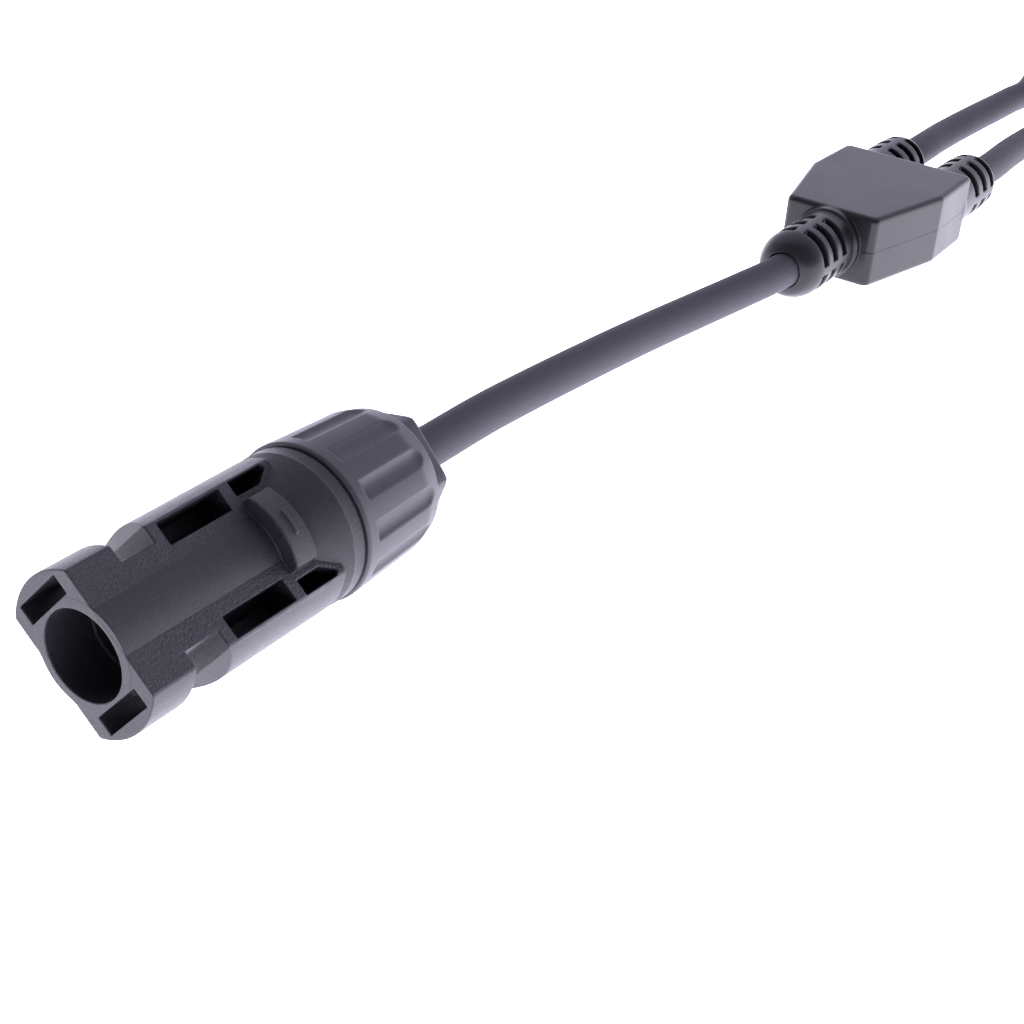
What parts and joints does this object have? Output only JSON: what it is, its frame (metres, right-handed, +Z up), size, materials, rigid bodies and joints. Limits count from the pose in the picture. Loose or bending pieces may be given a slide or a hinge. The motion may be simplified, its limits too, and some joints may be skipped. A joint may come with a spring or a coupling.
{
  "type": "solar cable connector",
  "caption": "Y-branch lead for solar strings: a locking pin coupler with a screwed cable gland, a moulded splitter and two latching socket couplers.",
  "frame": {"origin": "on the ground under the middle of the pin coupler, measured without the cable and what hangs on it", "axes": "+X along the pin coupler from its mating face to its cable, +Z up, the coupler lying on its round side as set down on a table"},
  "size_m": [0.3958, 0.049, 0.02],
  "materials": {
    "housing": "fine spark-eroded grain, slate black",
    "nut": "satin moulded, slightly lighter slate black",
    "moulding": "satin overmould with a soft skin",
    "jacket": "matt extruded cross-linked jacket",
    "seal": "matt silicone rubber",
    "collet": "natural polyamide",
    "contact": "tin plated copper",
    "conductor": "tinned copper strands",
    "clip": "spring steel strip"
  },
  "bodies": {
    "root": {"pin_housing": "housing", "pin_contact": "contact", "pin_contact_clip": "clip", "pin_gland_seal": "seal", "trunk_cable_jacket": "jacket", "trunk_conductor": "conductor", "y_moulding": "moulding", "splice_sleeve": "contact", "branch_a_cable_jacket": "jacket", "branch_a_conductor": "conductor", "socket_a_housing": "housing", "socket_a_nose_o_ring": "seal", "socket_a_contact": "contact", "socket_a_contact_clip": "clip", "socket_a_gland_seal": "seal", "branch_b_cable_jacket": "jacket", "branch_b_conductor": "conductor", "socket_b_housing": "housing", "socket_b_nose_o_ring": "seal", "socket_b_contact": "contact", "socket_b_contact_clip": "clip", "socket_b_gland_seal": "seal"},
    "pin_collet": {"pin_clamping_collet": "collet"},
    "pin_nut": {"pin_gland_nut": "nut"},
    "socket_a_collet": {"socket_a_clamping_collet": "collet"},
    "socket_a_nut": {"socket_a_gland_nut": "nut"},
    "socket_b_collet": {"socket_b_clamping_collet": "collet"},
    "socket_b_nut": {"socket_b_gland_nut": "nut"},
    "socket_a_arm_left": {"socket_a_latch_arm_left": "housing"},
    "socket_a_arm_right": {"socket_a_latch_arm_right": "housing"},
    "socket_b_arm_left": {"socket_b_latch_arm_left": "housing"},
    "socket_b_arm_right": {"socket_b_latch_arm_right": "housing"}
  },
  "joints": [
    {"name": "pin_gland_travel", "type": "slide", "parent": "root", "child": "pin_collet", "axis": [1, 0, 0], "range_m": [0, 0.00605]},
    {"name": "pin_nut_turn", "type": "hinge", "parent": "pin_collet", "child": "pin_nut", "pos_m": [0.016, 0, 0.01], "axis": [1, 0, 0], "range_deg": [0, 1440]},
    {"name": "socket_a_gland_travel", "type": "slide", "parent": "root", "child": "socket_a_collet", "axis": [-1, 0, 0], "range_m": [0, 0.00605]},
    {"name": "socket_a_nut_turn", "type": "hinge", "parent": "socket_a_collet", "child": "socket_a_nut", "pos_m": [0.322, 0.013, 0.01], "axis": [-1, 0, 0], "range_deg": [0, 1440]},
    {"name": "socket_b_gland_travel", "type": "slide", "parent": "root", "child": "socket_b_collet", "axis": [-1, 0, 0], "range_m": [0, 0.00605]},
    {"name": "socket_b_nut_turn", "type": "hinge", "parent": "socket_b_collet", "child": "socket_b_nut", "pos_m": [0.322, -0.016, 0.01], "axis": [-1, 0, 0], "range_deg": [0, 1440]},
    {"name": "socket_a_latch_left", "type": "hinge", "parent": "root", "child": "socket_a_arm_left", "pos_m": [0.3436, 0.02005, 0.01], "axis": [0, 0, -1], "range_deg": [0, 4.5], "stiffness_Nm_per_rad": 0.5},
    {"name": "socket_a_latch_right", "type": "hinge", "parent": "root", "child": "socket_a_arm_right", "pos_m": [0.3436, 0.00595, 0.01], "axis": [0, 0, 1], "range_deg": [0, 4.5], "stiffness_Nm_per_rad": 0.5},
    {"name": "socket_b_latch_left", "type": "hinge", "parent": "root", "child": "socket_b_arm_left", "pos_m": [0.3436, -0.00895, 0.01], "axis": [0, 0, -1], "range_deg": [0, 4.5], "stiffness_Nm_per_rad": 0.5},
    {"name": "socket_b_latch_right", "type": "hinge", "parent": "root", "child": "socket_b_arm_right", "pos_m": [0.3436, -0.02305, 0.01], "axis": [0, 0, 1], "range_deg": [0, 4.5], "stiffness_Nm_per_rad": 0.5}
  ],
  "couplings": [
    {"joint": "pin_gland_travel", "follows": "pin_nut_turn", "m_per_rad": 0.00023873},
    {"joint": "socket_a_gland_travel", "follows": "socket_a_nut_turn", "m_per_rad": 0.00023873},
    {"joint": "socket_b_gland_travel", "follows": "socket_b_nut_turn", "m_per_rad": 0.00023873}
  ]
}
